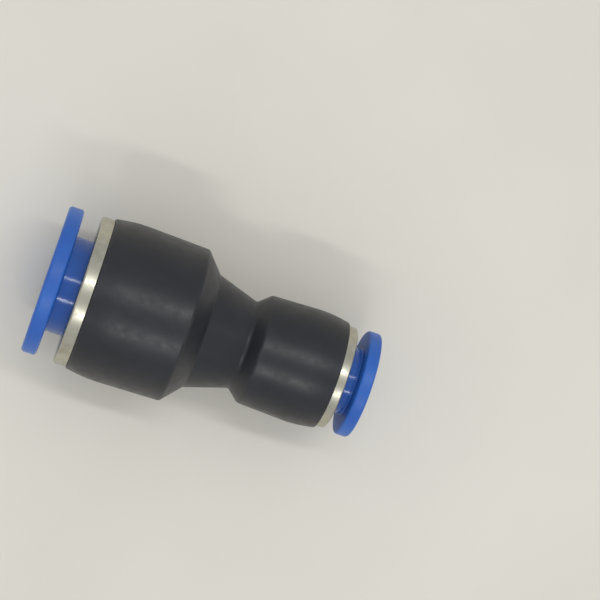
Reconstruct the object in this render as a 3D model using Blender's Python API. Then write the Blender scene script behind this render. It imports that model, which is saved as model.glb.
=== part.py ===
"""Straight push to connect union: a socket for 3/8 in tube at -X and one for 1/4 in tube at +X.

X is the fitting's axis. The origin is on it, midway between the outer faces of the two release
sleeves. Every turned outline is written as (depth, radius) corners, where depth runs into the
body from that end's face, so a negative depth is outside the body.
"""

from math import cos, hypot, pi, sin, tan
from types import SimpleNamespace

import bmesh
import bpy
from mathutils import Vector

MM = 0.001


def in_metres(**sizes_mm):
    """Named sizes given in millimetres, kept as metres."""
    return SimpleNamespace(**{name: size * MM for name, size in sizes_mm.items()})


# ---- driving dimensions, in millimetres ----

SEAT_GAP = 0.3 * MM  # between pieces that rest on each other
WELD = 0.001 * MM

BODY = in_metres(
    length=29.4,
    large_mouth_d=18.05,
    large_belly_d=18.85,
    large_belly_at=2.75,
    large_shoulder_d=18.4,
    large_shoulder_at=11.3,
    chamfer_foot_d=13.7,
    chamfer_foot_at=13.4,
    waist_d=10.5,
    waist_at=18.5,
    small_shoulder_d=13.1,
    small_shoulder_at=20.0,
    small_belly_d=13.7,
    small_belly_at=26.9,
    small_mouth_d=12.9,
    passage_d=4.85,
    round=0.6,
)

LARGE = in_metres(
    flange_d=17.5,
    flange_t=1.8,
    gap=2.1,  # from the sleeve's flange to the guide ring's rim
    neck_d=11.45,
    bore_d=9.75,
    mouth_d=10.9,
    lead_in=1.0,
    rim_d=17.7,
    rim_t=1.55,
    slip_d=11.75,
    spigot_d=15.4,
    spigot_end=3.0,
    relief_d=13.3,
    relief_at=0.7,
    lip_d=12.4,
    lip_t=0.6,
    nose_end=3.6,
    nose_d=10.2,
    nose_cone=0.4,
    sheet_t=0.35,
    claw_rim_d=15.1,
    claw_bend_d=13.4,
    claw_tip_d=8.9,
    claw_reach=1.6,  # how much deeper a tooth's tip lies than the claw ring's rim
    tooth_gap=0.62,
    tip_width=1.1,
    counterbore_d=15.7,
    counterbore_end=7.7,
    collar_end=7.4,
    recess_d=13.0,
    recess_end=6.1,
    collar_bore_d=9.9,
    seat_d=13.5,
    seat_end=10.3,
    o_ring_id=9.2,
    o_ring_section=1.9,
    stop=12.5,
)

SMALL = in_metres(
    flange_d=12.65,
    flange_t=1.5,
    gap=1.45,
    neck_d=8.0,
    bore_d=6.55,
    mouth_d=7.3,
    lead_in=0.8,
    rim_d=12.25,
    rim_t=1.1,
    slip_d=8.3,
    spigot_d=11.0,
    spigot_end=2.2,
    relief_d=9.5,
    relief_at=0.5,
    lip_d=8.8,
    lip_t=0.45,
    nose_end=2.6,
    nose_d=7.0,
    nose_cone=0.4,
    sheet_t=0.3,
    claw_rim_d=10.8,
    claw_bend_d=9.5,
    claw_tip_d=5.9,
    claw_reach=1.3,
    tooth_gap=0.55,
    tip_width=0.95,
    counterbore_d=11.3,
    counterbore_end=5.9,
    collar_end=5.6,
    recess_d=9.2,
    recess_end=4.5,
    collar_bore_d=6.7,
    seat_d=9.8,
    seat_end=8.0,
    o_ring_id=6.1,
    o_ring_section=1.6,
    stop=11.0,
)

LARGE.teeth, SMALL.teeth = 16, 12
LARGE.label, SMALL.label = "3_8", "1_4"
LARGE.inward, SMALL.inward = 1, -1

VISIBLE_STEPS = 48
HIDDEN_STEPS = 36
ARC_STEPS = 2
O_RING_POINTS = 10
TOOTH_COLUMNS = 2

for end in (LARGE, SMALL):
    end.outer_face = -(end.rim_t + end.gap + end.flange_t)

OVERALL = BODY.length - LARGE.outer_face - SMALL.outer_face
LARGE.face_x = -OVERALL / 2 - LARGE.outer_face
SMALL.face_x = OVERALL / 2 + SMALL.outer_face


# ---- materials ----


def finish(name, colour, roughness, metallic=0.0):
    """A Principled material; the colour is linear RGB."""
    material = bpy.data.materials.new(name)
    material.use_nodes = True
    shader = material.node_tree.nodes["Principled BSDF"]
    shader.inputs["Base Color"].default_value = (*colour, 1.0)
    shader.inputs["Roughness"].default_value = roughness
    shader.inputs["Metallic"].default_value = metallic
    return material


def make_finishes():
    return SimpleNamespace(
        body=finish("black_pbt", (0.018, 0.018, 0.021), 0.42),
        sleeve=finish("blue_acetal", (0.026, 0.118, 0.520), 0.30),
        ring=finish("nickel_plated_brass", (0.62, 0.60, 0.54), 0.24, 1.0),
        claw=finish("stainless_spring_steel", (0.66, 0.64, 0.60), 0.22, 1.0),
        collar=finish("black_acetal", (0.016, 0.016, 0.018), 0.40),
        seal=finish("black_nitrile", (0.010, 0.010, 0.011), 0.60),
    )


# ---- turning ----


def arc_at(before, corner, after, radius):
    """The points that round a corner of an outline with a true arc."""
    to_before = (before - corner).normalized()
    to_after = (after - corner).normalized()
    half_angle = to_before.angle(to_after) / 2
    setback = radius / tan(half_angle)
    centre = corner + (to_before + to_after).normalized() * hypot(radius, setback)
    start = corner + to_before * setback - centre
    sweep = start.angle_signed(corner + to_after * setback - centre)
    points = []
    for i in range(ARC_STEPS + 1):
        turn = sweep * i / ARC_STEPS
        # angle_signed counts clockwise turns as positive.
        points.append(
            centre
            + Vector(
                (
                    start.x * cos(turn) + start.y * sin(turn),
                    start.y * cos(turn) - start.x * sin(turn),
                )
            )
        )
    return points


def rounded(corners):
    """A closed outline from (depth, radius) corners, each with an optional rounding radius."""
    points = [Vector(corner[:2]) for corner in corners]
    outline = []
    for i, corner in enumerate(corners):
        if len(corner) == 2:
            outline.append(points[i])
        else:
            after = points[(i + 1) % len(points)]
            outline.extend(arc_at(points[i - 1], points[i], after, corner[2]))
    return outline


def add_object(name, bm, material, origin_x):
    """An object with its origin on the fitting's axis, made from a mesh in world coordinates."""
    bmesh.ops.remove_doubles(bm, verts=bm.verts, dist=WELD)
    bmesh.ops.recalc_face_normals(bm, faces=bm.faces)
    bmesh.ops.translate(bm, vec=(-origin_x, 0, 0), verts=bm.verts)
    mesh = bpy.data.meshes.new(name)
    bm.to_mesh(mesh)
    bm.free()
    mesh.shade_smooth()
    mesh.set_sharp_from_angle(angle=pi / 6)
    mesh.materials.append(material)
    obj = bpy.data.objects.new(name, mesh)
    obj.location.x = origin_x
    bpy.context.scene.collection.objects.link(obj)
    return obj


def turned(name, end, outline, steps, material, origin_depth=0.0):
    """A closed outline spun about the fitting's axis."""
    bm = bmesh.new()
    ring = [bm.verts.new((end.face_x + end.inward * p.x, 0, p.y)) for p in outline]
    edges = [bm.edges.new((ring[i - 1], ring[i])) for i in range(len(ring))]
    bmesh.ops.spin(
        bm, geom=ring + edges, cent=(0, 0, 0), axis=(1, 0, 0), angle=2 * pi, steps=steps
    )
    return add_object(name, bm, material, end.face_x + end.inward * origin_depth)


# ---- the pieces ----


def make_body(material):
    """The moulded body: two stepped sockets, joined by a passage through the waist."""
    length = BODY.length
    outer = [
        (0, BODY.large_mouth_d / 2, BODY.round / 2),
        (BODY.large_belly_at, BODY.large_belly_d / 2, 8 * BODY.round),
        (BODY.large_shoulder_at, BODY.large_shoulder_d / 2, BODY.round),
        (BODY.chamfer_foot_at, BODY.chamfer_foot_d / 2, BODY.round),
        (BODY.waist_at, BODY.waist_d / 2, BODY.round),
        (BODY.small_shoulder_at, BODY.small_shoulder_d / 2, BODY.round),
        (BODY.small_belly_at, BODY.small_belly_d / 2, 8 * BODY.round),
        (length, BODY.small_mouth_d / 2, BODY.round / 2),
    ]
    small_socket = [
        (length, SMALL.counterbore_d / 2),
        (length - SMALL.counterbore_end, SMALL.counterbore_d / 2),
        (length - SMALL.counterbore_end, SMALL.seat_d / 2),
        (length - SMALL.seat_end, SMALL.seat_d / 2),
        (length - SMALL.seat_end, SMALL.bore_d / 2),
        (length - SMALL.stop, SMALL.bore_d / 2),
        (length - SMALL.stop, BODY.passage_d / 2),
    ]
    large_socket = [
        (LARGE.stop, BODY.passage_d / 2),
        (LARGE.stop, LARGE.bore_d / 2),
        (LARGE.seat_end, LARGE.bore_d / 2),
        (LARGE.seat_end, LARGE.seat_d / 2),
        (LARGE.counterbore_end, LARGE.seat_d / 2),
        (LARGE.counterbore_end, LARGE.counterbore_d / 2),
        (0, LARGE.counterbore_d / 2),
    ]
    outline = rounded(outer + small_socket + large_socket)
    turned("body", LARGE, outline, VISIBLE_STEPS, material, LARGE.stop)


def make_release_sleeve(end, material):
    """A flange to press on, a neck that slides in the guide ring, a lip that keeps it in, a nose."""
    neck, lip = end.neck_d / 2, end.lip_d / 2
    lip_start = end.relief_at + SEAT_GAP
    flange_back = end.outer_face + end.flange_t
    edge = end.flange_t / 5
    outline = rounded(
        [
            (end.outer_face, end.mouth_d / 2, edge / 2),
            (end.outer_face, end.flange_d / 2, edge),
            (flange_back, end.flange_d / 2, edge),
            (flange_back, neck, edge),
            (lip_start, neck),
            (lip_start, lip),
            (lip_start + end.lip_t, lip),
            (lip_start + 2 * end.lip_t, neck),
            (end.nose_end - end.nose_cone, neck),
            (end.nose_end, end.nose_d / 2),
            (end.nose_end, end.bore_d / 2),
            (end.outer_face + end.lead_in, end.bore_d / 2),
        ]
    )
    name = f"release_sleeve_{end.label}"
    turned(name, end, outline, VISIBLE_STEPS, material, end.outer_face)


def make_guide_ring(end, material):
    """A rim that shows outside the body, and a spigot that holds the claw ring and collar in."""
    rim, spigot = end.rim_d / 2, end.spigot_d / 2
    edge = end.rim_t / 6
    outline = rounded(
        [
            (-end.rim_t, end.slip_d / 2),
            (-end.rim_t, rim, edge),
            (-SEAT_GAP, rim),
            (-SEAT_GAP, spigot),
            (end.spigot_end, spigot),
            (end.spigot_end, end.relief_d / 2),
            (end.relief_at, end.relief_d / 2),
            (end.relief_at, end.slip_d / 2),
        ]
    )
    turned(f"guide_ring_{end.label}", end, outline, VISIBLE_STEPS, material)


def make_collar(end, material):
    """A spacer with a coned recess: the claw ring's rim sits on it, and it closes the seal's seat."""
    front = end.spigot_end + SEAT_GAP + end.sheet_t + SEAT_GAP
    bore = end.collar_bore_d / 2
    outline = rounded(
        [
            (front, end.recess_d / 2),
            (front, end.spigot_d / 2),
            (end.collar_end, end.spigot_d / 2),
            (end.collar_end, bore),
            (end.collar_end - SEAT_GAP / 2, bore),
            (end.recess_end, end.recess_d / 2),
        ]
    )
    turned(f"collar_{end.label}", end, outline, HIDDEN_STEPS, material)


def make_o_ring(end, material):
    """A round section ring, centred along its seat."""
    radius = end.o_ring_section / 2
    depth = (end.counterbore_end + end.seat_end) / 2
    middle = end.o_ring_id / 2 + radius
    outline = []
    for i in range(O_RING_POINTS):
        turn = 2 * pi * i / O_RING_POINTS
        outline.append(Vector((depth + radius * cos(turn), middle + radius * sin(turn))))
    turned(f"o_ring_{end.label}", end, outline, HIDDEN_STEPS, material, depth)


def claw_sections(end):
    """(front point, back point, half width of the tooth) at the rim, the bend and the tip."""
    front = end.spigot_end + SEAT_GAP
    bend, tip = end.claw_bend_d / 2, end.claw_tip_d / 2
    along = Vector((end.claw_reach, tip - bend)).normalized()
    through = Vector((-along.y, along.x)) * end.sheet_t
    pitch = 2 * pi / end.teeth
    root_width = bend * pitch - end.tooth_gap
    rim_front = Vector((front, end.claw_rim_d / 2))
    bend_front = Vector((front, bend))
    tip_front = Vector((front + end.claw_reach, tip))
    back = Vector((end.sheet_t, 0))
    return [
        (rim_front, rim_front + back, None),
        (bend_front, bend_front + back, root_width / 2),
        (tip_front, tip_front + through, end.tip_width / 2),
    ]


def make_claw_ring(end, material):
    """A flat spring steel rim with teeth that lean inwards and away from the mouth."""
    bm = bmesh.new()
    rim, bend, tip = claw_sections(end)
    pitch = 2 * pi / end.teeth
    root_half_angle = bend[2] / bend[0].y

    def vertex(point, angle):
        x = end.face_x + end.inward * point.x
        return bm.verts.new((x, point.y * sin(angle), point.y * cos(angle)))

    def strip(points_a, points_b):
        for i in range(len(points_a) - 1):
            bm.faces.new((points_a[i], points_a[i + 1], points_b[i + 1], points_b[i]))

    for tooth in range(end.teeth):
        middle = tooth * pitch
        spread = [2 * i / TOOTH_COLUMNS - 1 for i in range(TOOTH_COLUMNS + 1)]
        root_angles = [middle + side * root_half_angle for side in spread]
        gap_angles = [root_angles[-1], middle + pitch - root_half_angle]
        tip_half_angle = tip[2] / tip[0].y
        tip_angles = [middle + side * tip_half_angle for side in spread]
        for angles in (root_angles, gap_angles):
            rows = [[vertex(p, a) for a in angles] for p in (rim[0], bend[0], bend[1], rim[1])]
            strip(rows[0], rows[1])
            strip(rows[2], rows[3])
            strip(rows[3], rows[0])
            if angles is gap_angles:
                strip(rows[1], rows[2])
        root_front = [vertex(bend[0], a) for a in root_angles]
        root_back = [vertex(bend[1], a) for a in root_angles]
        tip_front = [vertex(tip[0], a) for a in tip_angles]
        tip_back = [vertex(tip[1], a) for a in tip_angles]
        strip(root_front, tip_front)
        strip(tip_front, tip_back)
        strip(tip_back, root_back)
        for side in (0, -1):
            bm.faces.new((root_front[side], tip_front[side], tip_back[side], root_back[side]))
    add_object(f"claw_ring_{end.label}", bm, material, end.face_x)


def main():
    for obj in list(bpy.data.objects):
        bpy.data.objects.remove(obj)
    finishes = make_finishes()
    make_body(finishes.body)
    for end in (LARGE, SMALL):
        make_release_sleeve(end, finishes.sleeve)
        make_guide_ring(end, finishes.ring)
        make_claw_ring(end, finishes.claw)
        make_collar(end, finishes.collar)
        make_o_ring(end, finishes.seal)


main()
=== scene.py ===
# %% [markdown]
# # A push to connect fitting, dressed for its portrait
#
# A push to connect fitting joins two plastic air tubes with no tools. Each end has a blue
# release sleeve, a plated guide ring and, deeper in, a ring of steel claws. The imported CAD
# model fixes where every piece is and how it moves. This script loads it, then builds a finer
# surface and a real finish for each piece, in the same place.

# %% Load the frame
from math import cos, degrees, hypot, pi, radians, sin, tan
from types import SimpleNamespace

import bmesh
import bpy
from mathutils import Matrix, Vector


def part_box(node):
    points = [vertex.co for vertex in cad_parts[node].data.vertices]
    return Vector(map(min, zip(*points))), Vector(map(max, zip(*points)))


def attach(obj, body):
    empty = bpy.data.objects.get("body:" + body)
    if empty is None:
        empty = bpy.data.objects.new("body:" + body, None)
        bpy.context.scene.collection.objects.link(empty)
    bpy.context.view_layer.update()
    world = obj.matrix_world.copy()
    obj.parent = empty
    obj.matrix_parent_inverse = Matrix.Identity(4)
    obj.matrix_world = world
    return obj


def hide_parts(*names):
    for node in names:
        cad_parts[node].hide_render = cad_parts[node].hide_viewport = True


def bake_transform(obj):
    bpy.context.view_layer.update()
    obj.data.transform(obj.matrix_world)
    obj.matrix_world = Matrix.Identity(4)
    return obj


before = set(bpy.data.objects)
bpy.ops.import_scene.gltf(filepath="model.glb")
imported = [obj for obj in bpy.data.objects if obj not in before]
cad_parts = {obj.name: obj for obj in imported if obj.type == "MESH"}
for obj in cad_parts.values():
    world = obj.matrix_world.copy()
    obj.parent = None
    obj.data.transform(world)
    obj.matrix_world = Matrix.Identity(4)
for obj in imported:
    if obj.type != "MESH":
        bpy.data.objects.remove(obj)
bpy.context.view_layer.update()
print("nodes:", sorted(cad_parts))

# %% [markdown]
# ## Units and colours
#
# Blender works in metres and in linear light, while a maker thinks in millimetres and picks
# colours from a screen. The sums could be done by hand for every value. Two small helpers are
# safer: `MM` turns millimetres into metres, and `linear` turns a screen colour into the linear
# values that a shader needs.

# %% Units and colours
MM = 0.001


def in_metres(**sizes_mm):
    """Named sizes given in millimetres, kept as metres."""
    return SimpleNamespace(**{name: size * MM for name, size in sizes_mm.items()})


def linear(hex_colour):
    """A screen colour such as 2E63C6 as linear RGBA."""
    channels = [int(hex_colour[i : i + 2], 16) / 255 for i in (0, 2, 4)]
    bright = [((c + 0.055) / 1.055) ** 2.4 if c > 0.04045 else c / 12.92 for c in channels]
    return (*bright, 1.0)


print("mid grey on a screen is", round(linear("808080")[0], 3), "in linear light")

# %% [markdown]
# ## What the frame says about each end
#
# The two ends are the same design at two sizes, so each is described by one record: where the
# body's end face is, which way is inwards, and the sizes that its pieces share. Positions could
# be typed in again, but then they could drift from the CAD, so they are read from the CAD nodes'
# own boxes. From here on, a turned outline is written as (depth, radius), where depth runs into
# the body from its end face and is negative outside.

# %% Read the ends from the frame
body_low, body_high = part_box("body")


def end_of_fitting(label, inward, face_x, **sizes_mm):
    """One end: its label, direction and face, its CAD boxes, and its sizes in metres."""
    end = in_metres(**sizes_mm)
    end.label, end.inward, end.face_x = label, inward, face_x
    sleeve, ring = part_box(f"release_sleeve_{label}"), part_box(f"guide_ring_{label}")
    outer = 0 if inward > 0 else 1
    end.outer_face = (sleeve[outer].x - face_x) * inward
    end.nose_end = (sleeve[1 - outer].x - face_x) * inward
    end.rim_face = (ring[outer].x - face_x) * inward
    end.spigot_end = (ring[1 - outer].x - face_x) * inward
    end.flange_radius = sleeve[1].z
    end.rim_radius = ring[1].z
    return end


LARGE = end_of_fitting(
    "3_8", 1, body_low.x,
    flange_t=1.8, mouth_r=5.45, bore_r=4.875, lead_in=1.0, neck_r=5.725, lip_r=6.2, lip_t=0.6,
    nose_r=5.1, slip_r=5.875, spigot_r=7.7, relief_r=6.65, relief_at=0.7, counterbore_r=7.85,
    counterbore_end=7.7, seat_r=6.75, seat_end=10.3, stop=12.5, collar_end=7.4, recess_r=6.5,
    recess_end=6.1, collar_bore_r=4.95, seal_inner_r=4.6, seal_section=1.9, sheet_t=0.35,
    claw_rim_r=7.55, claw_bend_r=6.7, claw_tip_r=4.45, claw_reach=1.6, tooth_gap=0.62,
    tip_width=1.1,
)
SMALL = end_of_fitting(
    "1_4", -1, body_high.x,
    flange_t=1.5, mouth_r=3.65, bore_r=3.275, lead_in=0.8, neck_r=4.0, lip_r=4.4, lip_t=0.45,
    nose_r=3.5, slip_r=4.15, spigot_r=5.5, relief_r=4.75, relief_at=0.5, counterbore_r=5.65,
    counterbore_end=5.9, seat_r=4.9, seat_end=8.0, stop=11.0, collar_end=5.6, recess_r=4.6,
    recess_end=4.5, collar_bore_r=3.35, seal_inner_r=3.05, seal_section=1.6, sheet_t=0.3,
    claw_rim_r=5.4, claw_bend_r=4.75, claw_tip_r=2.95, claw_reach=1.3, tooth_gap=0.55,
    tip_width=0.95,
)
LARGE.teeth, SMALL.teeth = 16, 12
ENDS = (LARGE, SMALL)
SEAT_GAP = 0.3 * MM
HAIRLINE = 0.02 * MM  # what is left between two faces that touch

for end in ENDS:
    print(end.label, "sleeve stands out", round(-end.outer_face / MM, 2), "mm")

# %% [markdown]
# ## The camera
#
# The fitting lies on its side on a table, and the camera looks down at that table. A fitting
# with one thick and one thin end doesn't lie level, because its thin end drops until both ends
# touch. The fitting stays straight in this scene, so it is the camera that leans, by `LEAN`. It
# is also turned, by `TURN`, so that the fitting runs from the upper left to the lower right. A
# Track To constraint could aim it, but three axes written out give the same aim each time.

# %% Aim the camera
LEAN = radians(7.3)
TURN = radians(19.0)
CAMERA_HEIGHT = 228 * MM
SENSOR_WIDTH = 36  # in millimetres, as Blender keeps sensor and lens
HALF_VIEW = 34.68 * MM  # half of what the camera sees at the fitting's axis
OFF_CENTRE = (-10.87 * MM, -3.75 * MM)  # the fitting's middle, right of and above the view's

towards_camera = Vector((-sin(LEAN), 0, cos(LEAN)))
along_table = Vector((cos(LEAN), 0, sin(LEAN)))
across_table = Vector((0, 1, 0))
view_right = along_table * cos(TURN) + across_table * sin(TURN)
view_up = across_table * cos(TURN) - along_table * sin(TURN)

camera_data = bpy.data.cameras.new("camera")
camera_data.sensor_width = SENSOR_WIDTH
camera_data.lens = SENSOR_WIDTH / 2 * CAMERA_HEIGHT / HALF_VIEW
camera_data.clip_start = 10 * MM
camera = bpy.data.objects.new("camera", camera_data)
bpy.context.scene.collection.objects.link(camera)
bpy.context.scene.camera = camera
place = (
    towards_camera * CAMERA_HEIGHT - view_right * OFF_CENTRE[0] - view_up * OFF_CENTRE[1]
)
axes = Matrix((view_right, view_up, towards_camera)).transposed()
camera.matrix_world = Matrix.Translation(place) @ axes.to_4x4()
print("lens:", round(camera_data.lens, 1), "mm, camera at", [round(v / MM, 1) for v in place])

# %% [markdown]
# ## One helper for every node
#
# A shader tree and a geometry tree are both nodes with settings, values and links. They could
# be placed by hand in the editor, but a script can be read, changed and run again. So one
# function adds a node of any kind and sets its properties, then gives each input a value or a
# link. A link may come from a socket or from another node's first output. `every` turns the
# size of a pattern's features into the scale that a texture wants.

# %% The node helper
CLOUD_LOW, CLOUD_HIGH = 0.3, 0.7  # a cloud texture's values lie mostly between these


def add(tree, kind, inputs=None, **settings):
    """Add a node to a tree, with its settings and with values or links for its inputs."""
    node = tree.nodes.new(kind)
    for name, value in settings.items():
        setattr(node, name, value)
    for key, value in (inputs or {}).items():
        named = [socket for socket in node.inputs if socket.enabled and socket.name == key]
        socket = named[0] if named else node.inputs[key]
        if isinstance(value, bpy.types.Node):
            value = next(output for output in value.outputs if output.enabled)
        if isinstance(value, bpy.types.NodeSocket):
            tree.links.new(value, socket)
        else:
            socket.default_value = value
    return node


def every(size_mm):
    """The texture scale whose features are about this many millimetres across."""
    return 1 / (size_mm * MM)


def blank_material(name):
    """A material and its tree, still empty."""
    material = bpy.data.materials.new(name)
    material.use_nodes = True
    material.node_tree.nodes.clear()
    return material, material.node_tree


print("features 0.5 mm across need a texture scale of", every(0.5))

# %% [markdown]
# ## Glass-filled PBT, the body
#
# The body is injection moulded in black PBT filled with short glass fibre. The fibre leaves the
# skin slightly grainy, so it shines softly and in patches, never like a mirror. Handling rubs
# the corners a little paler, and the corners also catch a sheen, which is painted here as well.
# A ready-made image could be wrapped on, but it would stretch over a turned shape. Patterns
# computed from the place on the piece don't: a fine grain in the bump, slow clouds in colour and
# bump for the patchy shine, and a pale band at each corner, part wear and part painted highlight,
# that blotches break up.

# %% Make the body's finish
BODY_CORNERS = (0.1 * MM, 11.3 * MM, 20.0 * MM, 29.3 * MM)  # from the 3/8 end face
WEAR_AND_HIGHLIGHT_WIDTH = 0.3 * MM


def make_glass_filled_pbt():
    material, tree = blank_material("glass_filled_pbt_black")
    where = add(tree, "ShaderNodeTexCoord").outputs["Object"]
    clouds = add(
        tree, "ShaderNodeTexNoise", {"Vector": where, "Scale": every(3.4), "Detail": 2.0}
    )
    blotches = add(
        tree, "ShaderNodeTexNoise", {"Vector": where, "Scale": every(1.1), "Detail": 4.0}
    )
    # The real grain is about 0.05 mm, too fine to show, so it is drawn four times as coarse.
    grain = add(
        tree, "ShaderNodeTexNoise",
        {"Vector": where, "Scale": every(0.22), "Detail": 4.0, "Roughness": 0.6},
    )
    along = add(tree, "ShaderNodeSeparateXYZ", {"Vector": where})
    # Pale bands at the corners: part handling wear, part painted highlight, the sheen a corner
    # catches.
    corner_wear_and_highlight = 0.0
    for corner in BODY_CORNERS:
        place = LARGE.face_x + corner
        offset = add(tree, "ShaderNodeMath", {0: along, 1: place}, operation="SUBTRACT")
        distance = add(tree, "ShaderNodeMath", {0: offset}, operation="ABSOLUTE")
        band = add(
            tree, "ShaderNodeMapRange",
            {"Value": distance, "From Min": 0.0, "From Max": WEAR_AND_HIGHLIGHT_WIDTH, "To Min": 1.0, "To Max": 0.0},
        )
        corner_wear_and_highlight = add(tree, "ShaderNodeMath", {0: band, 1: corner_wear_and_highlight}, operation="MAXIMUM")
    broken = add(
        tree, "ShaderNodeMapRange",
        {"Value": blotches, "From Min": 0.4, "From Max": 0.7, "To Min": 0.0, "To Max": 0.35},
    )
    wear_and_highlight = add(tree, "ShaderNodeMath", {0: corner_wear_and_highlight, 1: broken}, operation="MULTIPLY")
    shade = add(
        tree, "ShaderNodeMapRange",
        {"Value": clouds, "From Min": CLOUD_LOW, "From Max": CLOUD_HIGH},
    )
    skin = add(
        tree, "ShaderNodeMix",
        {"Factor": shade, "A": linear("15171E"), "B": linear("1D1F27")}, data_type="RGBA",
    )
    # The paler grey mixed in at the corners is part wear, part painted highlight.
    colour = add(
        tree, "ShaderNodeMix", {"Factor": wear_and_highlight, "A": skin, "B": linear("3E3E40")},
        data_type="RGBA",
    )
    roughness = add(
        tree, "ShaderNodeMapRange",
        {
            "Value": blotches, "From Min": CLOUD_LOW, "From Max": CLOUD_HIGH,
            "To Min": 0.33, "To Max": 0.45,
        },
    )
    swell = add(
        tree, "ShaderNodeBump", {"Height": clouds, "Strength": 0.4, "Distance": 0.03 * MM}
    )
    pebble = add(
        tree, "ShaderNodeBump",
        {"Height": grain, "Strength": 0.5, "Distance": 0.012 * MM, "Normal": swell},
    )
    shader = add(
        tree, "ShaderNodeBsdfPrincipled",
        {"Base Color": colour, "Roughness": roughness, "IOR": 1.53, "Normal": pebble},
    )
    add(tree, "ShaderNodeOutputMaterial", {"Surface": shader})
    return material


glass_filled_pbt = make_glass_filled_pbt()
print("finish:", glass_filled_pbt.name, len(glass_filled_pbt.node_tree.nodes), "nodes")

# %% [markdown]
# ## Blue acetal, the release sleeves
#
# The sleeves are moulded in blue acetal (POM), a slippery, slightly translucent plastic. A
# little light travels a fraction of a millimetre inside it, which softens its edges, so the
# shader has some subsurface scattering. The part that slides comes off a polished core, so lamps
# show in it as small bright marks. The flange, which fingers press, is moulded satin and only
# has a broad sheen. Two materials could do that, but the moulding is one piece, so one material
# grows rougher where the flange starts.

# %% Make the sleeves' finish
SATIN_FROM = 17.7 * MM  # the flanges' inner faces are about this far from the middle
SATIN_FADE = 0.2 * MM


def make_blue_acetal():
    material, tree = blank_material("acetal_blue")
    where = add(tree, "ShaderNodeTexCoord").outputs["Object"]
    clouds = add(
        tree, "ShaderNodeTexNoise", {"Vector": where, "Scale": every(4.5), "Detail": 3.0}
    )
    ripples = add(
        tree, "ShaderNodeTexNoise", {"Vector": where, "Scale": every(0.7), "Detail": 3.0}
    )
    grain = add(
        tree, "ShaderNodeTexNoise", {"Vector": where, "Scale": every(0.16), "Detail": 3.0}
    )
    shade = add(
        tree, "ShaderNodeMapRange",
        {"Value": clouds, "From Min": CLOUD_LOW, "From Max": CLOUD_HIGH},
    )
    colour = add(
        tree, "ShaderNodeMix",
        {"Factor": shade, "A": linear("2560BC"), "B": linear("306EC8")}, data_type="RGBA",
    )
    along = add(tree, "ShaderNodeSeparateXYZ", {"Vector": where})
    from_middle = add(tree, "ShaderNodeMath", {0: along}, operation="ABSOLUTE")
    satin = add(
        tree, "ShaderNodeMapRange",
        {
            "Value": from_middle, "From Min": SATIN_FROM, "From Max": SATIN_FROM + SATIN_FADE,
            "To Min": 0.0, "To Max": 0.26,
        },
    )
    polish = add(
        tree, "ShaderNodeMapRange",
        {
            "Value": ripples, "From Min": CLOUD_LOW, "From Max": CLOUD_HIGH,
            "To Min": 0.11, "To Max": 0.17,
        },
    )
    roughness = add(tree, "ShaderNodeMath", {0: polish, 1: satin}, operation="ADD")
    waves = add(
        tree, "ShaderNodeBump", {"Height": ripples, "Strength": 0.35, "Distance": 0.02 * MM}
    )
    fine = add(
        tree, "ShaderNodeBump",
        {"Height": grain, "Strength": 0.35, "Distance": 0.004 * MM, "Normal": waves},
    )
    shader = add(
        tree, "ShaderNodeBsdfPrincipled",
        {
            "Base Color": colour, "Roughness": roughness, "IOR": 1.48, "Normal": fine,
            "Subsurface Weight": 0.2, "Subsurface Radius": (0.5, 0.7, 1.0),
            "Subsurface Scale": 0.25 * MM,
        },
    )
    add(tree, "ShaderNodeOutputMaterial", {"Surface": shader})
    return material


blue_acetal = make_blue_acetal()
print("finish:", blue_acetal.name, len(blue_acetal.node_tree.nodes), "nodes")

# %% [markdown]
# ## Nickel-plated brass, the guide rings
#
# Each guide ring is turned from brass and plated with nickel. Turning leaves very fine lines
# round it, and the thin plate keeps them. The lines spread a lamp's reflection along the axis
# and give the band its silky look. Anisotropic shading could fake that, but real lines in the
# bump are simpler to aim. They have to run round the ring, so the pattern is read from two
# numbers only: the place along the axis, and the distance from it.

# %% Make the guide rings' finish


def make_nickel_plated_brass():
    material, tree = blank_material("nickel_plated_brass")
    where = add(tree, "ShaderNodeTexCoord").outputs["Object"]
    along = add(tree, "ShaderNodeSeparateXYZ", {"Vector": where})
    across = add(
        tree, "ShaderNodeVectorMath", {0: where, 1: (0.0, 1.0, 1.0)}, operation="MULTIPLY"
    )
    radius = add(tree, "ShaderNodeVectorMath", {0: across}, operation="LENGTH")
    turned = add(tree, "ShaderNodeCombineXYZ", {"X": along, "Y": radius})
    # Real turning lines are about 0.03 mm apart, too fine to show, so these are coarser.
    lines = add(
        tree, "ShaderNodeTexNoise", {"Vector": turned, "Scale": every(0.09), "Detail": 2.0}
    )
    tarnish = add(
        tree, "ShaderNodeTexNoise",
        {"Vector": where, "Scale": every(1.3), "Detail": 3.0, "Roughness": 0.6},
    )
    shade = add(
        tree, "ShaderNodeMapRange",
        {"Value": tarnish, "From Min": CLOUD_LOW, "From Max": CLOUD_HIGH},
    )
    colour = add(
        tree, "ShaderNodeMix",
        {"Factor": shade, "A": linear("C4C2B3"), "B": linear("AFAC9D")}, data_type="RGBA",
    )
    roughness = add(
        tree, "ShaderNodeMapRange",
        {
            "Value": tarnish, "From Min": CLOUD_LOW, "From Max": CLOUD_HIGH,
            "To Min": 0.24, "To Max": 0.38,
        },
    )
    ridges = add(
        tree, "ShaderNodeBump", {"Height": lines, "Strength": 0.5, "Distance": 0.006 * MM}
    )
    shader = add(
        tree, "ShaderNodeBsdfPrincipled",
        {"Base Color": colour, "Metallic": 1.0, "Roughness": roughness, "Normal": ridges},
    )
    add(tree, "ShaderNodeOutputMaterial", {"Surface": shader})
    return material


nickel_plated_brass = make_nickel_plated_brass()
print("finish:", nickel_plated_brass.name, len(nickel_plated_brass.node_tree.nodes), "nodes")

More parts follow.
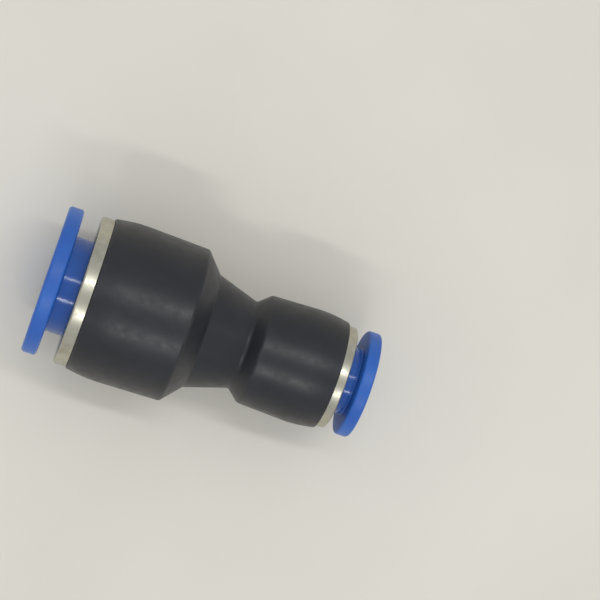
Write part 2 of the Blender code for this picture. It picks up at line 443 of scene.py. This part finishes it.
# %% [markdown]
# ## Stainless spring steel, the claws
#
# The claw rings are stamped from thin stainless strip and left bright. Rolling leaves faint
# streaks, so the shine of each tooth breaks up a little as it catches the light. A Wave texture
# could draw streaks, but too evenly. A cloud pattern that a Mapping node stretches looks rolled.

# %% Make the claws' finish


def make_stainless_strip():
    material, tree = blank_material("stainless_spring_steel")
    where = add(tree, "ShaderNodeTexCoord").outputs["Object"]
    rolled = add(tree, "ShaderNodeMapping", {"Vector": where, "Scale": (0.25, 1.0, 0.25)})
    # Rolling streaks are a few hundredths wide, so 0.12 mm is as coarse as they need to be.
    streaks = add(
        tree, "ShaderNodeTexNoise", {"Vector": rolled, "Scale": every(0.12), "Detail": 3.0}
    )
    stains = add(
        tree, "ShaderNodeTexNoise", {"Vector": where, "Scale": every(0.9), "Detail": 3.0}
    )
    shade = add(
        tree, "ShaderNodeMapRange",
        {"Value": stains, "From Min": CLOUD_LOW, "From Max": CLOUD_HIGH},
    )
    colour = add(
        tree, "ShaderNodeMix",
        {"Factor": shade, "A": linear("D9D5CB"), "B": linear("BDB7A9")}, data_type="RGBA",
    )
    roughness = add(
        tree, "ShaderNodeMapRange",
        {
            "Value": streaks, "From Min": CLOUD_LOW, "From Max": CLOUD_HIGH,
            "To Min": 0.26, "To Max": 0.40,
        },
    )
    grooves = add(
        tree, "ShaderNodeBump", {"Height": streaks, "Strength": 0.3, "Distance": 0.003 * MM}
    )
    shader = add(
        tree, "ShaderNodeBsdfPrincipled",
        {"Base Color": colour, "Metallic": 1.0, "Roughness": roughness, "Normal": grooves},
    )
    add(tree, "ShaderNodeOutputMaterial", {"Surface": shader})
    return material


stainless_strip = make_stainless_strip()
print("finish:", stainless_strip.name, len(stainless_strip.node_tree.nodes), "nodes")

# %% [markdown]
# ## The hidden pieces: black acetal and nitrile rubber
#
# The collars are moulded in plain black acetal. The O-rings are moulded nitrile rubber (NBR)
# with a film of assembly grease, which gives a dull black a soft, broken gloss. Both are seen
# only deep in a socket. They could share one black, but rubber scatters a lamp more than acetal
# does, so one function makes both with their own values. One cloud pattern each is enough, and
# the grease is the shader's coat.

# %% Make the collars' and O-rings' finishes


def make_socket_black(name, colours, blotch_mm, ior, roughness_low, roughness_high, grease):
    """A dull black whose colour, shine and bump follow one cloud pattern."""
    material, tree = blank_material(name)
    where = add(tree, "ShaderNodeTexCoord").outputs["Object"]
    blotches = add(
        tree, "ShaderNodeTexNoise",
        {"Vector": where, "Scale": every(blotch_mm), "Detail": 4.0},
    )
    shade = add(
        tree, "ShaderNodeMapRange",
        {"Value": blotches, "From Min": CLOUD_LOW, "From Max": CLOUD_HIGH},
    )
    colour = add(
        tree, "ShaderNodeMix",
        {"Factor": shade, "A": linear(colours[0]), "B": linear(colours[1])},
        data_type="RGBA",
    )
    roughness = add(
        tree, "ShaderNodeMapRange",
        {
            "Value": blotches, "From Min": CLOUD_LOW, "From Max": CLOUD_HIGH,
            "To Min": roughness_low, "To Max": roughness_high,
        },
    )
    bump = add(
        tree, "ShaderNodeBump", {"Height": blotches, "Strength": 0.3, "Distance": 0.01 * MM}
    )
    shader = add(
        tree, "ShaderNodeBsdfPrincipled",
        {
            "Base Color": colour, "Roughness": roughness, "IOR": ior, "Normal": bump,
            "Coat Weight": grease,
        },
    )
    add(tree, "ShaderNodeOutputMaterial", {"Surface": shader})
    return material


black_acetal = make_socket_black(
    "acetal_black", ("1C1C1E", "262628"), blotch_mm=0.8, ior=1.48,
    roughness_low=0.32, roughness_high=0.44, grease=0.0,
)
nitrile = make_socket_black(
    "nitrile_rubber", ("121213", "1B1B1C"), blotch_mm=0.5, ior=1.52,
    roughness_low=0.45, roughness_high=0.65, grease=0.25,
)
print("finishes:", black_acetal.name, "and", nitrile.name)

# %% [markdown]
# ## Outlines with true roundings
#
# Every turned piece starts as an outline: a loop of corners, each with the radius that rounds
# it. A Bevel modifier could round the finished mesh, but then every corner gets the same width.
# Here each rounding is an arc in the outline, cut into steps small enough that no facet shows. A
# short straight step is kept beside each arc, so that the flat beside it is shaded flat.

# %% Rounding an outline
ARC_STEP = radians(9)
FEWEST_STEPS = 4  # so that a wide, shallow rounding stays smooth
SHOULDER = 0.06 * MM  # the straight step beside each arc


def arc_at(before, corner, after, radius):
    """The points that round one corner of an outline."""
    to_before, to_after = (before - corner).normalized(), (after - corner).normalized()
    setback = radius / tan(to_before.angle(to_after) / 2)
    centre = corner + (to_before + to_after).normalized() * hypot(radius, setback)
    start = corner + to_before * setback - centre
    # angle_signed counts clockwise as positive, and Matrix.Rotation does not.
    sweep = -start.angle_signed(corner + to_after * setback - centre)
    steps = max(FEWEST_STEPS, round(abs(sweep) / ARC_STEP))
    arc = [centre + Matrix.Rotation(sweep * i / steps, 2) @ start for i in range(steps + 1)]
    return [arc[0] + to_before * SHOULDER, *arc, arc[-1] + to_after * SHOULDER]


def rounded(corners):
    """A closed outline from (depth, radius) or (depth, radius, rounding) corners, in metres."""
    points = [Vector(corner[:2]) for corner in corners]
    outline = []
    for i, corner in enumerate(corners):
        if len(corner) == 2:
            outline.append(points[i])
        else:
            after = points[(i + 1) % len(points)]
            outline.extend(arc_at(points[i - 1], points[i], after, corner[2]))
    return outline


square = [(0, 0, 1 * MM), (4 * MM, 0), (4 * MM, 4 * MM), (0, 4 * MM)]
print("a square with one rounded corner has", len(rounded(square)), "points")

# %% [markdown]
# ## A lathe in Geometry Nodes
#
# A lathe spins an outline about an axis, and nearly every piece here is round. The Screw
# modifier could do it too. Geometry Nodes show the steps: Mesh to Curve reads the outline, Curve
# Circle is the path, and Curve to Mesh sweeps the one round the other. The circle has a radius
# of its own, the hub, so the outline is drawn from that distance. The hub, the number of steps
# round the axis and the material are named inputs, so one tree turns nine pieces.

# %% Build the lathe tree
HUB = 5 * MM  # the swept circle's radius


def new_geometry_tree(name, inputs):
    """A geometry tree with its named inputs, and the sockets that give their values."""
    tree = bpy.data.node_groups.new(name, "GeometryNodeTree")
    tree.interface.new_socket("Geometry", in_out="INPUT", socket_type="NodeSocketGeometry")
    for socket_name, kind in inputs:
        tree.interface.new_socket(socket_name, in_out="INPUT", socket_type=kind)
    tree.interface.new_socket("Geometry", in_out="OUTPUT", socket_type="NodeSocketGeometry")
    return tree, add(tree, "NodeGroupInput").outputs


def build_lathe():
    """The tree that sweeps an outline round the X axis."""
    tree, given = new_geometry_tree(
        "lathe",
        [
            ("Hub Radius", "NodeSocketFloat"), ("Steps", "NodeSocketInt"),
            ("Material", "NodeSocketMaterial"),
        ],
    )
    profile = add(tree, "GeometryNodeMeshToCurve", {"Mesh": given["Geometry"]})
    path = add(
        tree, "GeometryNodeCurvePrimitiveCircle",
        {"Resolution": given["Steps"], "Radius": given["Hub Radius"]},
    )
    swept = add(tree, "GeometryNodeCurveToMesh", {"Curve": path, "Profile Curve": profile})
    # The sweep lays the outline's Y along -Z. A quarter turn about Y brings that to +X.
    laid = add(
        tree, "GeometryNodeTransform", {"Geometry": swept, "Rotation": (0.0, -pi / 2, 0.0)}
    )
    real = add(tree, "GeometryNodeRealizeInstances", {"Geometry": laid})
    made = add(
        tree, "GeometryNodeSetMaterial", {"Geometry": real, "Material": given["Material"]}
    )
    add(tree, "NodeGroupOutput", {"Geometry": made})
    return tree


lathe = build_lathe()
print("lathe nodes:", [node.name for node in lathe.nodes])

# %% [markdown]
# ## From a tree to a plain mesh
#
# The live tree could stay on the object, but whatever rides on the fitting has to be a plain
# mesh. A modifier's inputs are set by their identifiers, before the object is first evaluated.
# The evaluated result is then copied out, its doubles are merged, its normals are made to point
# out, and the modifiers are dropped. Shading is smooth except across a real edge.

# %% Helpers that run a tree and bake its result
WELD = 0.0005 * MM  # points closer than this become one
CREASE = radians(35)  # a sharper edge than this isn't shaded smooth


def use_tree(obj, tree, values):
    """Give an object this geometry tree as a modifier, and set the inputs that are named."""
    modifier = obj.modifiers.new(tree.name, "NODES")
    modifier.node_group = tree
    identifiers = {
        item.name: item.identifier
        for item in tree.interface.items_tree
        if item.in_out == "INPUT"
    }
    for name, value in values.items():
        modifier[identifiers[name]] = value


def to_plain_mesh(obj, name):
    """Replace an object's mesh and modifiers by what they evaluate to."""
    bpy.context.view_layer.update()
    evaluated = obj.evaluated_get(bpy.context.evaluated_depsgraph_get())
    mesh = bpy.data.meshes.new_from_object(evaluated)
    obj.modifiers.clear()
    obj.data = mesh
    mesh.name = name
    bm = bmesh.new()
    bm.from_mesh(mesh)
    bmesh.ops.remove_doubles(bm, verts=bm.verts, dist=WELD)
    bmesh.ops.recalc_face_normals(bm, faces=bm.faces)
    open_edges = sum(1 for edge in bm.edges if len(edge.link_faces) != 2)
    bm.to_mesh(mesh)
    bm.free()
    mesh.shade_smooth()
    mesh.set_sharp_from_angle(angle=CREASE)
    print(name, len(mesh.polygons), "faces,", open_edges, "open edges")
    return obj


def new_object(name, mesh):
    """An object at the origin that shows this mesh."""
    obj = bpy.data.objects.new(name, mesh)
    bpy.context.scene.collection.objects.link(obj)
    return obj


print("edges of more than", round(degrees(CREASE)), "degrees stay sharp")

# %% [markdown]
# ## Turning a piece
#
# With the outline and the lathe ready, a turned piece takes one call. The outline could be
# drawn where the piece belongs and then moved, but a finished piece has to sit unmoved at the
# origin. So its place along the axis is worked into the outline's own points.

# %% Helper that turns a piece


def turn(name, end, corners, steps, material):
    """Spin an outline of (depth, radius) corners into a finished piece."""
    outline = rounded(corners)
    mesh = bpy.data.meshes.new(name)
    points = [(p.y - HUB, end.face_x + end.inward * p.x, 0) for p in outline]
    mesh.from_pydata(points, [(i, (i + 1) % len(points)) for i in range(len(points))], [])
    obj = new_object(name, mesh)
    use_tree(obj, lathe, {"Hub Radius": HUB, "Steps": steps, "Material": material})
    return to_plain_mesh(obj, name)


print("the outline is drawn from", round(HUB / MM, 1), "mm off the axis")

# %% [markdown]
# ## The body
#
# One moulding holds everything. Outside, each socket swells slightly towards a belly, and a
# steep chamfer and a long cone bring the thick end down to the waist. Inside, each socket steps
# down from the counterbore to the seal's seat, the tube's bore and the stop, and a narrower
# passage joins the two. Cylinders and cones joined by Booleans could make it, but they leave
# hard joins. One outline for the outside and the inside is what the mould itself has, so it is
# turned on the lathe. Every corner that shows is rounded, the bellies most of all.

# %% Turn the body
ROUND_STEPS = 192
BODY = in_metres(
    mouth_r=9.025, belly_r=9.425, belly_at=2.75, shoulder_r=9.2, shoulder_at=11.3,
    chamfer_foot_r=6.85, chamfer_foot_at=13.4, waist_r=5.25, waist_at=18.5,
    small_shoulder_r=6.55, small_shoulder_at=20.0, small_belly_r=6.85, small_belly_at=26.9,
    small_mouth_r=6.45, passage_r=2.425, belly_round=14, corner=0.5, edge=0.13, inner_edge=0.12,
)
length = body_high.x - body_low.x


def socket(end, from_x, sign):
    """The stepped inside of one end, from its mouth to its stop, in the body's own depths."""
    steps = [
        (0, end.counterbore_r, BODY.inner_edge),
        (end.counterbore_end, end.counterbore_r),
        (end.counterbore_end, end.seat_r, BODY.inner_edge),
        (end.seat_end, end.seat_r),
        (end.seat_end, end.bore_r, BODY.inner_edge),
        (end.stop, end.bore_r),
        (end.stop, BODY.passage_r, BODY.inner_edge),
    ]
    return [(from_x + sign * step[0], *step[1:]) for step in steps]


body_outline = [
    (0, BODY.mouth_r, BODY.edge),
    (BODY.belly_at, BODY.belly_r, BODY.belly_round),
    (BODY.shoulder_at, BODY.shoulder_r, BODY.corner),
    (BODY.chamfer_foot_at, BODY.chamfer_foot_r, BODY.corner),
    (BODY.waist_at, BODY.waist_r, BODY.corner),
    (BODY.small_shoulder_at, BODY.small_shoulder_r, BODY.corner),
    (BODY.small_belly_at, BODY.small_belly_r, BODY.belly_round),
    (length, BODY.small_mouth_r, BODY.edge),
]
# The outline comes back along the inside, from the small end to the large one.
body_outline += socket(SMALL, length, -1) + socket(LARGE, 0, 1)[::-1]
body_piece = turn("body_moulding", LARGE, body_outline, ROUND_STEPS, glass_filled_pbt)

# %% [markdown]
# ## The release sleeves
#
# Press the flange and the sleeve slides in, so that its coned nose opens the claws. The neck
# runs in the guide ring, and a lip behind the ring keeps the sleeve from falling out. The mouth
# is flared, so that a tube finds its way in. A tube with a disc stuck on its end would look
# right from outside only. The full outline also looks right down the bore, where the nose and
# the claws show. The roundings come from the flange's thickness, as on a small moulding.

# %% Turn the release sleeves
NOSE_TAPER = 0.4 * MM  # the length of the cone on the nose


def sleeve_corners(end):
    """A sleeve's outline: flange, neck, lip, nose, bore and flared mouth."""
    flange_back = end.outer_face + end.flange_t
    lip_start = end.relief_at + SEAT_GAP
    edge = end.flange_t / 5  # the flange's rounding, of which finer corners take a share
    return [
        (end.outer_face, end.mouth_r, edge),
        (end.outer_face, end.flange_radius, edge),
        (flange_back, end.flange_radius, edge),
        (flange_back, end.neck_r, edge / 2),
        (lip_start, end.neck_r),
        (lip_start, end.lip_r, edge / 5),
        (lip_start + end.lip_t, end.lip_r, edge / 4),
        (lip_start + 2 * end.lip_t, end.neck_r),
        (end.nose_end - NOSE_TAPER, end.neck_r, edge / 2),
        (end.nose_end, end.nose_r, edge / 6),
        (end.nose_end, end.bore_r, edge / 6),
        (end.outer_face + end.lead_in, end.bore_r, edge),
    ]


sleeves = {
    end.label: turn(
        f"sleeve_{end.label}_moulding", end, sleeve_corners(end), ROUND_STEPS, blue_acetal
    )
    for end in ENDS
}

# %% [markdown]
# ## The guide rings
#
# Only the rim shows, as a bright band between the black body and the blue sleeve. Behind it, a
# spigot sits in the counterbore. A bare band would be enough to look at, but in the open socket
# its inner edge shows, so the whole ring is turned. Its corners are broken by small, even
# roundings, which catch the lamps.

# %% Turn the guide rings


def ring_corners(end):
    """A guide ring's outline: the rim that shows, and the spigot in the counterbore."""
    edge = -end.rim_face / 6  # the rim's rounding
    return [
        (end.rim_face, end.slip_r, edge / 2),
        (end.rim_face, end.rim_radius, edge),
        (-HAIRLINE, end.rim_radius, edge / 4),
        (-HAIRLINE, end.spigot_r),
        (end.spigot_end, end.spigot_r, edge / 2),
        (end.spigot_end, end.relief_r, edge / 4),
        (end.relief_at, end.relief_r),
        (end.relief_at, end.slip_r, edge / 4),
    ]


rings = {
    end.label: turn(
        f"ring_{end.label}_turning", end, ring_corners(end), ROUND_STEPS, nickel_plated_brass
    )
    for end in ENDS
}

# %% [markdown]
# ## The collars and O-rings
#
# The collar spaces the claws from the seal, and its coned recess gives the teeth room to lean
# out as a tube passes. The O-ring behind it keeps the air in. Blender has a torus primitive for
# an O-ring, but its outline is only a circle, so it goes on the lathe like the rest. Both pieces
# are half hidden, so they take fewer steps round the axis.

# %% Turn the collars and O-rings
HIDDEN_STEPS = 128
COLLAR_EDGE = 0.12 * MM
SEAL_POINTS = 24


def collar_corners(end):
    """A collar's outline, with its coned recess towards the claws."""
    front = end.spigot_end + 2 * SEAT_GAP + end.sheet_t
    return [
        (front, end.recess_r, COLLAR_EDGE),
        (front, end.spigot_r, COLLAR_EDGE),
        (end.collar_end, end.spigot_r, COLLAR_EDGE),
        (end.collar_end, end.collar_bore_r),
        (end.collar_end - SEAT_GAP / 2, end.collar_bore_r),
        (end.recess_end, end.recess_r, COLLAR_EDGE),
    ]


def seal_corners(end):
    """An O-ring's outline, a circle halfway along its seat."""
    depth = (end.counterbore_end + end.seat_end) / 2
    half = end.seal_section / 2
    middle = end.seal_inner_r + half
    points = []
    for i in range(SEAL_POINTS):
        angle = 2 * pi * i / SEAL_POINTS
        points.append((depth + half * cos(angle), middle + half * sin(angle)))
    return points


collars = {
    end.label: turn(
        f"collar_{end.label}_moulding", end, collar_corners(end), HIDDEN_STEPS, black_acetal
    )
    for end in ENDS
}
seals = {
    end.label: turn(f"seal_{end.label}", end, seal_corners(end), HIDDEN_STEPS, nitrile)
    for end in ENDS
}

# %% [markdown]
# ## The claw rings, repeated by Geometry Nodes
#
# A claw ring is one stamping: a flat rim with teeth that lean in towards the tube. An Array
# modifier with a turned helper object could repeat a tooth, but the copies would need the helper
# to stay. A tree needs none: it puts one point for each tooth on the axis, turns one copy of the
# tooth at each by its share of a full turn, and welds the copies where their rims meet.

# %% Build the tree that repeats round the axis


def build_repeater():
    """The tree that copies a piece round the X axis and welds the copies."""
    tree, given = new_geometry_tree(
        "repeat_round_axis",
        [
            ("Copies", "NodeSocketInt"), ("Weld", "NodeSocketFloat"),
            ("Material", "NodeSocketMaterial"),
        ],
    )
    points = add(tree, "GeometryNodePoints", {"Count": given["Copies"]})
    index = add(tree, "GeometryNodeInputIndex")
    share = add(tree, "ShaderNodeMath", {0: index, 1: given["Copies"]}, operation="DIVIDE")
    turn_by = add(tree, "ShaderNodeMath", {0: share, 1: 2 * pi}, operation="MULTIPLY")
    about_x = add(tree, "ShaderNodeCombineXYZ", {"X": turn_by})
    rotation = add(tree, "FunctionNodeEulerToRotation", {"Euler": about_x})
    copies = add(
        tree, "GeometryNodeInstanceOnPoints",
        {"Points": points, "Instance": given["Geometry"], "Rotation": rotation},
    )
    joined = add(tree, "GeometryNodeRealizeInstances", {"Geometry": copies})
    welded = add(
        tree, "GeometryNodeMergeByDistance", {"Geometry": joined, "Distance": given["Weld"]}
    )
    real = add(tree, "GeometryNodeRealizeInstances", {"Geometry": welded})
    made = add(
        tree, "GeometryNodeSetMaterial", {"Geometry": real, "Material": given["Material"]}
    )
    add(tree, "NodeGroupOutput", {"Geometry": made})
    return tree


repeater = build_repeater()
print("repeater nodes:", [node.name for node in repeater.nodes])

# %% [markdown]
# ## One tooth
#
# The tooth is drawn with its share of the rim as a single skin, in rows from the bend to the
# tip. A sharp fold at the bend would look like cut card, so the lean starts softly. A solid
# tooth could be drawn at once, but a skin is easier to shape: Solidify then gives it the
# strip's thickness, and Bevel breaks its stamped edges.

# %% Draw one tooth and stamp the claw rings
TOOTH_ROWS = 10
TOOTH_COLUMNS = 6
BEND_SOFTNESS = 0.12  # the share of the tooth over which the lean builds up
TOOTH_WELD = 0.01 * MM  # joins the rim from one tooth's share to the next
STAMPED_EDGE = 0.03 * MM
FOLD = radians(50)  # an edge that turns by less than this is left alone


def tooth_skin(end, name):
    """One tooth and its share of the rim, as a skin with no thickness yet."""
    front = end.spigot_end + SEAT_GAP
    pitch = 2 * pi / end.teeth
    root_half = end.claw_bend_r * pitch / 2 - end.tooth_gap / 2
    root_angle = root_half / end.claw_bend_r
    sides = [2 * i / TOOTH_COLUMNS - 1 for i in range(TOOTH_COLUMNS + 1)]
    root_angles = [side * root_angle for side in sides]
    bm = bmesh.new()

    def vertex(depth, radial, sideways):
        return bm.verts.new((end.face_x + end.inward * depth, sideways, radial))

    def strip(first, second):
        for i in range(len(first) - 1):
            corners = (first[i], first[i + 1], second[i + 1], second[i])
            bm.faces.new(corners if end.inward < 0 else corners[::-1])

    rim_angles = [-pitch / 2, *root_angles, pitch / 2]
    outer = [
        vertex(front, end.claw_rim_r * cos(a), end.claw_rim_r * sin(a)) for a in rim_angles
    ]
    inner = [
        vertex(front, end.claw_bend_r * cos(a), end.claw_bend_r * sin(a)) for a in rim_angles
    ]
    strip(outer, inner)
    row = inner[1:-1]
    # A hyperbola leaves the rim flat and soon runs straight. This is its height at the tip.
    soft_reach = hypot(1, BEND_SOFTNESS) - BEND_SOFTNESS
    for k in range(1, TOOTH_ROWS + 1):
        share = k / TOOTH_ROWS
        half = root_half + (end.tip_width / 2 - root_half) * share
        radial = end.claw_bend_r + (end.claw_tip_r - end.claw_bend_r) * share
        lean = (hypot(share, BEND_SOFTNESS) - BEND_SOFTNESS) / soft_reach
        depth = front + end.claw_reach * lean
        following = [vertex(depth, radial, side * half) for side in sides]
        strip(row, following)
        row = following
    mesh = bpy.data.meshes.new(name)
    bm.to_mesh(mesh)
    bm.free()
    return mesh


def stamp_claw_ring(end):
    """Repeat the tooth round the axis, then give the skin its thickness and soft edges."""
    name = f"claws_{end.label}_stamping"
    obj = new_object(name, tooth_skin(end, name))
    use_tree(
        obj, repeater, {"Copies": end.teeth, "Weld": TOOTH_WELD, "Material": stainless_strip}
    )
    thick = obj.modifiers.new("strip_thickness", "SOLIDIFY")
    thick.thickness = end.sheet_t
    # Known fault: the thickness grows towards the mouth, where the CAD's grows away from it. The
    # ring sits that much too near the mouth, so the 3/8 one cuts 0.05 mm into its guide ring.
    thick.offset = -1
    thick.use_even_offset = True
    soft = obj.modifiers.new("stamped_edges", "BEVEL")
    soft.width = STAMPED_EDGE
    soft.segments = 2
    soft.limit_method = "ANGLE"
    soft.angle_limit = FOLD
    return to_plain_mesh(obj, name)


claws = {end.label: stamp_claw_ring(end) for end in ENDS}

# %% [markdown]
# ## The pieces ride on the frame
#
# Each piece but the claw rings now follows the CAD body that its node belongs to, and the plain
# CAD node steps aside. The claw rings are only baked where they stand: they follow no body and
# don't bend. So they stay put when a sleeve is pressed, and a pressed sleeve passes through them.


def stands_for(node):
    """Hide a CAD node, whose place a finished piece takes."""
    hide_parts(node)


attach(body_piece, "fitting_body")
stands_for("body")
for end in ENDS:
    label = end.label
    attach(sleeves[label], f"sleeve_{label}")
    stands_for(f"release_sleeve_{label}")
    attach(rings[label], "fitting_body")
    stands_for(f"guide_ring_{label}")
    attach(collars[label], "fitting_body")
    stands_for(f"collar_{label}")
    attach(seals[label], "fitting_body")
    stands_for(f"o_ring_{label}")
    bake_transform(claws[label])
    stands_for(f"claw_ring_{label}")

# %% [markdown]
# ## Floor and light
#
# The fitting lies on a plain pale bench in a bright room. Most of the light comes evenly from
# all round, which the world gives. Two ceiling lamps do the rest: their reflections are the two
# soft streaks along the body and the two bright marks on each ring. One large soft lamp would
# light the shape but leave no marks. A lamp's mark on a round bar sits halfway between the lamp
# and the eye, so each lamp stands at twice the angle of its mark.

# %% Lay the floor
FLOOR_HALF = 3.0  # metres
FLOOR_SQUARES = 8


def make_painted_bench():
    material, tree = blank_material("painted_bench")
    where = add(tree, "ShaderNodeTexCoord").outputs["Object"]
    clouds = add(
        tree, "ShaderNodeTexNoise", {"Vector": where, "Scale": every(30), "Detail": 4.0}
    )
    shade = add(
        tree, "ShaderNodeMapRange",
        {"Value": clouds, "From Min": CLOUD_LOW, "From Max": CLOUD_HIGH},
    )
    colour = add(
        tree, "ShaderNodeMix",
        {"Factor": shade, "A": linear("E9E5D9"), "B": linear("EFEBE0")}, data_type="RGBA",
    )
    roughness = add(
        tree, "ShaderNodeMapRange",
        {
            "Value": clouds, "From Min": CLOUD_LOW, "From Max": CLOUD_HIGH,
            "To Min": 0.55, "To Max": 0.65,
        },
    )
    shader = add(
        tree, "ShaderNodeBsdfPrincipled", {"Base Color": colour, "Roughness": roughness}
    )
    add(tree, "ShaderNodeOutputMaterial", {"Surface": shader})
    return material


bm = bmesh.new()
bmesh.ops.create_grid(
    bm, x_segments=FLOOR_SQUARES, y_segments=FLOOR_SQUARES, size=FLOOR_HALF
)
floor_mesh = bpy.data.meshes.new("bench_top")
bm.to_mesh(floor_mesh)
bm.free()
floor_mesh.materials.append(make_painted_bench())
floor = new_object("bench_top", floor_mesh)
floor.location.z = body_low.z
print("floor at", round(body_low.z / MM, 2), "mm")

# %% Hang the lamps
ROOM_COLOUR = linear("E9EAEC")
ROOM_STRENGTH = 0.74

world = bpy.data.worlds.new("bright_room")
bpy.context.scene.world = world
world.use_nodes = True
room = world.node_tree.nodes["Background"]
room.inputs["Color"].default_value = ROOM_COLOUR
room.inputs["Strength"].default_value = ROOM_STRENGTH


def hang_lamp(name, side_angle, along, distance, size_x, size_y, radiance):
    """An area lamp above the fitting, tipped to one side of its axis, aimed at its middle."""
    # Radiance is what a reflection shows, so it is kept, and the power follows the size.
    watts = radiance * pi * size_x * size_y
    direction = towards_camera * cos(side_angle) + across_table * sin(side_angle)
    data = bpy.data.lights.new(name, "AREA")
    data.shape = "RECTANGLE"
    data.size, data.size_y, data.energy = size_x, size_y, watts
    lamp = bpy.data.objects.new(name, data)
    bpy.context.scene.collection.objects.link(lamp)
    lamp.location = direction * distance + Vector((along, 0, 0))
    back = lamp.location.normalized()
    side = across_table.cross(back).normalized()
    lamp.matrix_world = (
        Matrix.Translation(lamp.location)
        @ Matrix((side, back.cross(side), back)).transposed().to_4x4()
    )
    print(name, "gives", round(watts, 2), "W")


hang_lamp(
    "ceiling_lamp", side_angle=radians(17), along=0.13, distance=0.55,
    size_x=0.40, size_y=0.035, radiance=11,
)
hang_lamp(
    "second_lamp", side_angle=radians(-34), along=0.12, distance=0.60,
    size_x=0.24, size_y=0.030, radiance=19,
)
bpy.context.scene.view_settings.view_transform = "Standard"
